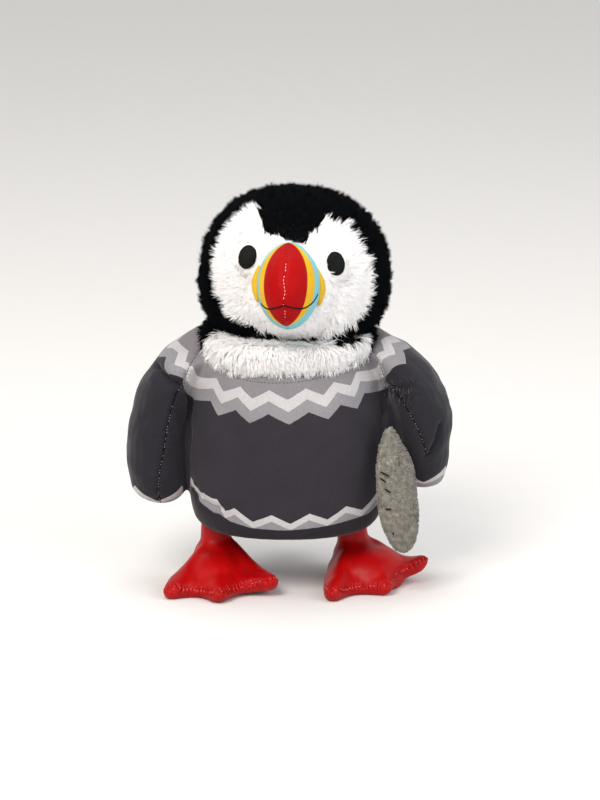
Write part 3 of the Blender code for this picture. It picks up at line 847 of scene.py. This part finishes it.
def insideFace(points):
    # Whether each point is inside the outline of the white face
    turn, rise = headAngles(points)
    inside = np.zeros(len(points), bool)
    edge = head["face"]
    for (t0, r0), (t1, r1) in zip(edge, edge[1:] + edge[:1]):
        crosses = (r0 > rise) != (r1 > rise)
        inside ^= crosses & (turn < (t1 - t0) * (rise - r0) / (r1 - r0 if r1 != r0 else 1e-9) + t0)
    return inside


def fur(name, white):
    # Acrylic faux fur. The pile scatters light, so white stays bright. Each tuft's colour runs from root to
    # tip: white's warmer, darker roots are painted shade deep in the pile, and black's faint cool, lighter
    # tips are a painted sheen
    sheen, gloss, root, tip = (0.2, 0.1, "#f1ece7", "#ffffff") if white else (0.0, 0.03, "#020304", "#07090c")
    material, tree, shader = newMaterial(name, Roughness=0.8, Sheen_Weight=sheen, Sheen_Roughness=0.4,
                                         Specular_IOR_Level=gloss)
    up = addNode(tree, "Attribute", attribute_name="up").outputs["Fac"]
    shade = addNode(tree, "Attribute", attribute_name="shade").outputs["Fac"]
    # Root to tip, plus random tone per tuft: darker roots on white are painted shade, lighter tips on black a
    # painted sheen
    share = addNode(tree, "Math", {0: shade, 1: 0.35, 2: up}, operation="MULTIPLY_ADD", use_clamp=True)
    colour = addNode(tree, "MixRGB", {"Fac": share, "Color1": linear(root), "Color2": linear(tip)})
    wire(tree, shader, colour)
    return material


def hide(name, patched):
    # The knitted backing that the pile grows from, seen only between tufts. It is black, or white in patches.
    # Its loops are about 2 mm
    material, tree, shader = newMaterial(name, Roughness=0.9)
    coords = addNode(tree, "TexCoord").outputs["Object"]
    grain = addNode(tree, "TexNoise", {"Vector": coords, "Scale": 500.0, "Detail": 3.0})
    light, dark = ("#f2ede8", "#d8d0ca") if patched else ("#050608", "#020203")
    colour = addNode(tree, "MixRGB", {"Fac": grain, "Color1": linear(light), "Color2": linear(dark)})
    if patched:
        face = addNode(tree, "Attribute", attribute_name="face").outputs["Fac"]
        colour = addNode(tree, "MixRGB", {"Fac": face, "Color1": linear("#040507"), "Color2": colour})
    wire(tree, shader, colour, addNode(tree, "Bump", {"Height": grain, "Strength": 0.8, "Distance": 0.001}))
    return material


def scatter(piece, count, dice):
    # Random points spread evenly over a piece, with normals
    mesh = piece.data
    mesh.calc_loop_triangles()
    corners = np.zeros(len(mesh.loop_triangles) * 3, int)
    mesh.loop_triangles.foreach_get("vertices", corners)
    corners = corners.reshape(-1, 3)
    points, normals = readPoints(piece)
    a, b, c = (points[corners[:, k]] for k in range(3))
    area = np.linalg.norm(np.cross(b - a, c - a), axis=1)
    chosen = np.searchsorted(np.cumsum(area) / area.sum(), dice.random(count))
    u, v = dice.random(count), dice.random(count)
    flip = u + v > 1
    u[flip], v[flip] = 1 - u[flip], 1 - v[flip]
    weights = np.stack([1 - u - v, u, v], 1)[:, :, None]
    spots = (points[corners[chosen]] * weights).sum(1)
    upright = (normals[corners[chosen]] * weights).sum(1)
    return spots, upright / np.linalg.norm(upright, axis=1)[:, None]


def tuftShapes(roots, normals, flow, length, width, lean, dice, clump=0.4, jitter=0.35, locks=14, stray=0.0):
    # Middle, tip and width of each tuft. Tips draw together in locks,
    # and each lock stands up or lies down a little
    lowerLift, upperLift = 0.85, 0.5     # how far the two halves of an upright tuft stand from the skin
    count = len(roots)
    leaders = dice.choice(count, max(1, count // locks), replace=False)
    tree = kdtree.KDTree(len(leaders))
    for number, leader in enumerate(leaders):
        tree.insert(roots[leader], number)
    tree.balance()
    lock = np.array([tree.find(spot)[1] for spot in roots])
    stand = 1 + stray * np.clip(dice.normal(size=len(leaders)), -1.6, 1.6)[lock]
    flow = flow + dice.normal(size=(count, 3)) * jitter
    flow += dice.normal(size=(len(leaders), 3))[lock] * jitter * 0.7
    flow -= (flow * normals).sum(1)[:, None] * normals
    flow /= np.linalg.norm(flow, axis=1)[:, None] + 1e-9
    length = (length * dice.uniform(0.82, 1.1, count) * (0.5 + 0.5 * stand))[:, None]
    first = np.clip(lowerLift * (1 + dice.normal(size=count) * 0.12) * lean * stand, 0.05, 0.97)[:, None]
    last = np.clip(upperLift * (1 + dice.normal(size=count) * 0.2) * lean * stand, -0.2, 0.95)[:, None]
    middles = roots + length * 0.5 * (normals * first + flow * np.sqrt(1 - first ** 2))
    tips = middles + length * 0.5 * (normals * last + flow * np.sqrt(1 - last ** 2))
    clump = np.broadcast_to(clump, count)[:, None]
    mine = leaders[lock]
    tips += (tips[mine] - tips) * clump * dice.uniform(0.5, 1, count)[:, None]
    middles += (middles[mine] - middles) * clump * 0.35
    return middles, tips, width * dice.uniform(0.8, 1.2, count)


def tuftMesh(name, roots, normals, middles, tips, widths, unwrap, dice):
    # One closed spike of ten triangles for each tuft: three corners at the root, three half way up, one tip
    soft = 0.88     # its normals lean towards the skin's, so that the pile shades as one soft surface
    count = len(roots)
    axis = tips - roots
    axis /= np.linalg.norm(axis, axis=1)[:, None] + 1e-9
    across = np.cross(axis, normals)
    across /= np.linalg.norm(across, axis=1)[:, None] + 1e-9
    over = np.cross(axis, across)
    spin = dice.uniform(0, 2 * math.pi, count)
    corners = np.zeros((count, 7, 3))
    facing = np.zeros((count, 7, 3))
    for k in range(3):
        angle = spin + k * 2 * math.pi / 3
        out = across * np.cos(angle)[:, None] + over * np.sin(angle)[:, None]
        corners[:, k] = roots - normals * 0.5 + out * widths[:, None] / 2
        corners[:, 3 + k] = middles + out * widths[:, None] * 0.4
        facing[:, k] = facing[:, 3 + k] = out * (1 - soft) + normals * soft
    corners[:, 6] = tips
    facing[:, 6] = axis * (1 - soft) + normals * soft
    shapeFaces = np.array([(0, 2, 1), (0, 1, 4), (0, 4, 3), (1, 2, 5), (1, 5, 4), (2, 0, 3), (2, 3, 5),
                           (3, 4, 6), (4, 5, 6), (5, 3, 6)])
    faces = (np.arange(count)[:, None, None] * 7 + shapeFaces[None]).reshape(-1, 3)
    mesh = bpy.data.meshes.new(name)
    mesh.vertices.add(count * 7)
    mesh.vertices.foreach_set("co", toWorld(corners.reshape(-1, 3)).ravel())
    mesh.loops.add(faces.size)
    mesh.loops.foreach_set("vertex_index", faces.ravel())
    mesh.polygons.add(len(faces))
    mesh.polygons.foreach_set("loop_start", np.arange(0, faces.size, 3))
    mesh.update(calc_edges=True)
    mesh.shade_smooth()
    piece = newPiece(name, mesh)
    # How far up its tuft each corner is; the fur uses it for roots painted darker and tips lighter, as
    # painted shade and sheen
    writeValue(piece, "up", np.tile([0, 0, 0, 0.6, 0.6, 0.6, 1.0], count))
    writeValue(piece, "shade", np.repeat(dice.uniform(-1, 1, count), 7))
    # Each tuft is a patch of the unwrap, at its root's place
    patch = 0.003
    across2, up2 = np.array([0, 0.5, 1, 0, 0.5, 1, 0.5]), np.array([0, 0, 0, 0.5, 0.5, 0.5, 1.0])
    spread = patch * np.stack([across2, up2], 1)[None] - patch / 2
    place2 = np.clip(unwrap, 0.002, 0.995)[:, None, :] + spread
    layer = mesh.uv_layers.new(name="OFBake")
    layer.data.foreach_set("uv", place2.reshape(-1, 2)[faces.ravel()].ravel())
    facing = facing.reshape(-1, 3)
    facing /= np.linalg.norm(facing, axis=1)[:, None]
    mesh.normals_split_custom_set_from_vertices(facing)
    return piece


blackFur, whiteFur = fur("blackFauxFur", False), fur("whiteFauxFur", True)


def growCoat(part, white, roots, upright, shapes, unwrap, dice):
    # White tufts and black ones, in pieces that stay under 200,000 triangles
    most = 19000
    for colour, chosen, material in (("white", white, whiteFur), ("black", ~white, blackFur)):
        numbers = np.flatnonzero(chosen)
        shares = np.array_split(numbers, max(1, math.ceil(len(numbers) / most)))
        for number, share in enumerate(shares):
            own = [values[share] for values in (roots, upright, *shapes, unwrap)]
            dress(tuftMesh(f"{colour}{part}Fur{number + 1}", *own, dice), material)


def fromEye(points, spot, oval):
    # 1 on an oval round an eye, less inside it and more outside
    wide, high = eyes[oval]
    return np.hypot((points[:, 0] - spot[0]) / wide, (points[:, 2] - spot[2]) / high)


def nearBillOrEye(points):
    # 0 at the rim of the bill or an eye, rising to 1 in open fur,
    # and how far each point is outside the bill's rim, as a share of the bill's half width
    turn = np.array(Matrix.Rotation(math.radians(bill["turn"]), 3, "Z"))
    turned = (points - np.array(bill["middle"])) @ turn
    rim = np.hypot(turned[:, 0] / bill["half"][0], turned[:, 2] / bill["half"][2]) - 1
    openness = np.where(points[:, 1] < frontOnly, ease(rim * 20, 0, 12), 1.0)
    for spot in eyes["spots"]:
        away = fromEye(points, spot, "shortHalf") - 1
        openness = np.minimum(openness, np.where(points[:, 1] < frontOnly, ease(away * 6.5, 0, 4), 1.0))
    return openness, rim


headSkin = remesh(copyNodes("headSkin", "head", hull=True), voxel=2.0, smoothing=12)
points, normals = readPoints(headSkin)
openness, _ = nearBillOrEye(points)
points += np.outer(openness, head["shift"])
depth = head["shortDepth"] + (head["depth"] - head["shortDepth"]) * openness
writePoints(headSkin, points - normals * depth[:, None])
points, normals = readPoints(headSkin)
writeValue(headSkin, "face", insideFace(points))
dress(headSkin, hide("furBackingHead", True), ["head"])

tufts = "tufts"
thicker = 1.0     # a factor on every tuft's width, which at 1 leaves it as it is
dice = np.random.default_rng(70)
roots, upright = scatter(headSkin, head[tufts], dice)
openness, rim = nearBillOrEye(roots)
behind = roots[:, 1] > frontOnly
keep = (upright[:, 2] > -0.9) & ((rim >= -0.04) | behind)
for spot in eyes["spots"]:
    keep &= (fromEye(roots, spot, "bareHalf") > 1) | behind
roots, upright, openness = roots[keep], upright[keep], openness[keep]

# Which way the pile lies: away from the bill and round the eyes, down the back,
# and over the ruff below the chin
source = np.array((bill["middle"][0], -62.0, 214.0))     # on the bill
flow = roots - source
flow /= np.linalg.norm(flow, axis=1)[:, None]
for spot in eyes["spots"]:
    away = roots - np.array(spot)
    size = np.linalg.norm(away, axis=1)
    flow += 1.1 * away / size[:, None] * (1 - ease(size, 7, 13))[:, None]
flow[:, 2] -= 0.35 * ease(roots[:, 1], -20, 30)
flow += swirl(roots, 26, 81) * 0.35
turn, rise = headAngles(roots)
chin = (1 - ease(rise, -38, -30)) * (roots[:, 1] < 10)
away = roots * (1, 1, 0) / np.linalg.norm(roots[:, :2], axis=1)[:, None]
flow += (away * 0.5 + np.array((0, 0, -1.0)) - flow) * (chin * 0.8)[:, None]

# White pile is finer, lies flatter and clumps less than black
whiteRoot = insideFace(roots + flow * 3.0)
length = head["shortPile"] + (head["pile"] - head["shortPile"]) * openness + 3.5 * chin
lean = 0.5 + 0.5 * openness
lean = np.where(whiteRoot, 0.72, 1.0) * lean
width, clump, stray = (np.where(whiteRoot, *pair) for pair in ((0.52, 0.58), (0.2, 0.52), (0.12, 0.2)))
shapes = tuftShapes(roots, upright, flow, length, width * thicker, lean, dice,
                    clump=clump, locks=20, stray=stray)
ragged = (0.52 + 0.4 * waves(roots, 4.5, 99))[:, None]     # tongues of pile cross the edge of the white
white = insideFace(roots * (1 - ragged) + shapes[1] * ragged)
unwrap = np.stack([0.5 + turn / 360, 0.5 + rise / 180], 1)
growCoat("Head", white, roots, upright, shapes, unwrap, dice)
print("head fur done", int(white.sum()), int((~white).sum()))


# Ruff

ruff = {
    "middle": (-1.0, -4.5, 167.5), "tufts": 44000, "quickTufts": 12000,
    "pile": 7.8, "shorterAbove": 2.2, "skinDepth": 3.4, "dive": 13,
    # The upper edge of the white: turn from the front, and height
    "turns": (-96, -84, -74, -67, -52, -39, -23, -14, -6, 3, 12, 24, 37, 53, 62, 72, 84, 96),
    "heights": (120, 154, 160, 173, 174, 175, 172, 171.5, 173.4, 171.8, 170, 171, 168, 168, 172, 162, 154,
                120),
}


def ruffTurn(points):
    # Turn from the front of the ring
    return np.arctan2(points[:, 0] - ruff["middle"][0], -(points[:, 1] - ruff["middle"][1]))


def ruffWhite(points):
    # Whether a place is on the white front of the ruff, below its edge
    edge = np.interp(np.degrees(ruffTurn(points)), ruff["turns"], ruff["heights"])
    return points[:, 2] < edge + 1.2 * waves(points, 9, 94)


def ruffSide(points):
    # Outwards from the middle of the ring, mostly level
    outward = (points - np.array(ruff["middle"])) * (1, 1, 0.4)
    return outward / np.linalg.norm(outward, axis=1)[:, None]


ruffSkin = remesh(copyNodes("ruffSkin", "neck_ruff"), voxel=1.6, smoothing=8)
points, normals = readPoints(ruffSkin)
side = ruffSide(points)
inwards = ruff["skinDepth"] * ease((normals * side).sum(1), 0.0, 0.6)
# Its top goes in under the head's pile
dive = ruff["dive"] * (1 - ease(distanceTo("head", points), 0.8, 4.5))
writePoints(ruffSkin, points - normals * inwards[:, None] - side * dive[:, None])
points, normals = readPoints(ruffSkin)
writeValue(ruffSkin, "face", ruffWhite(points))
dress(ruffSkin, hide("furBackingRuff", True), ["neck_ruff"])
dice = np.random.default_rng(71)
roots, upright = scatter(ruffSkin, ruff[tufts], dice)
outward = ruffSide(roots)
keep = (upright * outward).sum(1) > 0.15
roots, upright, outward = roots[keep], upright[keep], outward[keep]
flow = outward * 0.3 + np.array((0, 0, -1.0)) + swirl(roots, 20, 91) * 0.3
upper = ease(roots[:, 2], 166, 174)
length = ruff["pile"] - ruff["shorterAbove"] * upper
shapes = tuftShapes(roots, upright, flow, length, 0.5 * thicker, 0.62 - 0.3 * upper, dice,
                    clump=0.15, jitter=0.28, stray=0.1)
unwrap = np.stack([0.5 + ruffTurn(roots) / (2 * math.pi), (roots[:, 2] - 140) / 50], 1)
growCoat("Ruff", ruffWhite(roots), roots, upright, shapes, unwrap, dice)
print("ruff done", len(roots))


# Tail

tail = {"tufts": 6000, "quickTufts": 3000, "pile": 6.0, "width": 0.62, "lean": 0.8, "skinDepth": 2.2}
tailSkin = remesh(copyNodes("tailSkin", "tail"), voxel=1.2, smoothing=6)
points, normals = readPoints(tailSkin)
writePoints(tailSkin, points - normals * tail["skinDepth"])
dress(tailSkin, hide("furBackingTail", False), ["tail"])
dice = np.random.default_rng(72)
roots, upright = scatter(tailSkin, tail[tufts], dice)
flow = np.array((0.0, 1.0, -0.25)) + swirl(roots, 15, 95) * 0.3
length, lean = np.full(len(roots), tail["pile"]), np.full(len(roots), tail["lean"])
shapes = tuftShapes(roots, upright, flow, length, tail["width"], lean, dice)
lower = 0.25 + 0.5 * (upright[:, 2] > 0)     # the unwrap has one half for the underside and one for the top
unwrap = np.stack([0.5 + (roots[:, 0] + 2) / 80, lower + (roots[:, 1] - 55) / 120], 1)
dress(tuftMesh("tailFur", roots, upright, *shapes, unwrap, dice), blackFur)
print("tail done")


# Fish: short grey plush with stitched gill lines

fish = {
    "top": (64.0, -41.0, 113.0), "foot": (73.7, -51.5, 31.5), "dark": "#77736a", "light": "#918c81",
    "tufts": 12000, "quickTufts": 6000, "pile": 1.9, "width": 0.5, "skinDepth": 0.9,
    "gills": (
        ((58.5, -52.4, 85.4), (61, -52.9, 84.4), (63.7, -53.1, 82.3)),
        ((58.5, -53.1, 81.6), (61.8, -53.9, 79.2)), ((61.1, -54.7, 74.8), (65.0, -54.9, 72.2)),
        ((61.8, -56.3, 61.9), (65.6, -56.4, 61.9)),
        ((66.2, -57.3, 46.8), (66.8, -57.3, 45.2))),
}


def shortPlush():
    # Knitted minky plush: dull grey, brushed in patches of about 3 mm that look lighter or darker
    material, tree, shader = newMaterial("greyMinkyPlush", Roughness=0.9, Sheen_Weight=0.3,
                                         Sheen_Roughness=0.5)
    coords = addNode(tree, "TexCoord").outputs["Object"]
    brushed = addNode(tree, "TexNoise", {"Vector": coords, "Scale": 330.0, "Detail": 3.0})
    share = addNode(tree, "MapRange", {0: brushed, 1: 0.38, 2: 0.62})
    dark, light = linear(fish["dark"]), linear(fish["light"])
    colour = addNode(tree, "MixRGB", {"Fac": share, "Color1": dark, "Color2": light})
    fine = addNode(tree, "TexNoise", {"Vector": coords, "Scale": 700.0, "Detail": 2.0})
    wire(tree, shader, colour, addNode(tree, "Bump", {"Height": fine, "Strength": 0.8, "Distance": 0.0008}))
    return material


minky = shortPlush()
fishBody = remesh(copyNodes("fishBody", "fish"), voxel=1.0, smoothing=8)
points, normals = readPoints(fishBody)
writePoints(fishBody, points - normals * (fish["skinDepth"] + 0.4 * waves(points, 18, 61))[:, None])
dress(fishBody, minky, ["fish"])
dice = np.random.default_rng(73)
roots, upright = scatter(fishBody, fish[tufts], dice)
axis = np.array(fish["foot"]) - np.array(fish["top"])
flow = axis / np.linalg.norm(axis) + swirl(roots, 9, 97) * 0.9
length, lean = np.full(len(roots), fish["pile"]), np.ones(len(roots))
shapes = tuftShapes(roots, upright, flow, length, fish["width"], lean, dice, clump=0.5)
back = 0.25 + 0.5 * (upright[:, 1] > 0)     # the unwrap has one half for the front and one for the back
unwrap = np.stack([back + (roots[:, 0] - 70) / 90, (roots[:, 2] - 25) / 95], 1)
dress(tuftMesh("fishPile", roots, upright, *shapes, unwrap, dice), minky)
dress(threadPiece("fishMarks", fishBody, fish["gills"], radius=0.5, proud=1.6), darkThreadAndSeamShade)
print("fish done")


# Floor, light and camera

studio = {
    "floor": ("#d9d7d4", "#d6d4d1"), "sky": 0.8, "lit": (0, 0, 0.13),
    # Name, place in metres, size, power and tint
    "lamps": (("key", (-0.7, -1.5, 1.7), 1.0, 44, "#fff8f2"), ("fill", (1.4, -1.2, 1.0), 1.3, 16, "#f4f6ff"),
              ("top", (0.0, 0.3, 1.8), 1.0, 10, "#ffffff")),
    "lens": 166.5, "eye": (0.00733, -2.3418, 0.6854), "aim": (0.00733, 0.01128, 0.1204),
}


def aimed(name, data, at, target):
    # A lamp or camera that looks at a target
    holder = newPiece(name, data)
    holder.location = at
    holder.rotation_euler = (Vector(target) - holder.location).to_track_quat("-Z", "Y").to_euler()
    return holder


bm = bmesh.new()
bmesh.ops.create_grid(bm, x_segments=1, y_segments=1, size=6)
floor = fromBmesh("floor", bm, smooth=False)
floorPaint, tree, shader = newMaterial("palePaper", Roughness=0.9)     # seamless paper sweep
coords = addNode(tree, "TexCoord").outputs["Object"]
speck = addNode(tree, "TexNoise", {"Vector": coords, "Scale": 40.0, "Detail": 3.0})
pale, paler = (linear(tint) for tint in studio["floor"])
wire(tree, shader, addNode(tree, "MixRGB", {"Fac": speck, "Color1": pale, "Color2": paler}))
floor.data.materials.append(floorPaint)

world = bpy.data.worlds.new("studio")
bpy.context.scene.world = world
world.use_nodes = True
sky = world.node_tree.nodes["Background"]
sky.inputs["Color"].default_value = linear("#ffffff")
sky.inputs["Strength"].default_value = studio["sky"]

for name, at, size, power, tint in studio["lamps"]:
    lamp = bpy.data.lights.new(name, "AREA")
    lamp.size, lamp.energy, lamp.color = size, power, linear(tint)[:3]
    aimed(name, lamp, at, studio["lit"])

camera = bpy.data.cameras.new("camera")
camera.lens, camera.sensor_width, camera.clip_end = studio["lens"], 36, 20
bpy.context.scene.camera = aimed("camera", camera, studio["eye"], studio["aim"])
bpy.context.scene.view_settings.view_transform = "Standard"
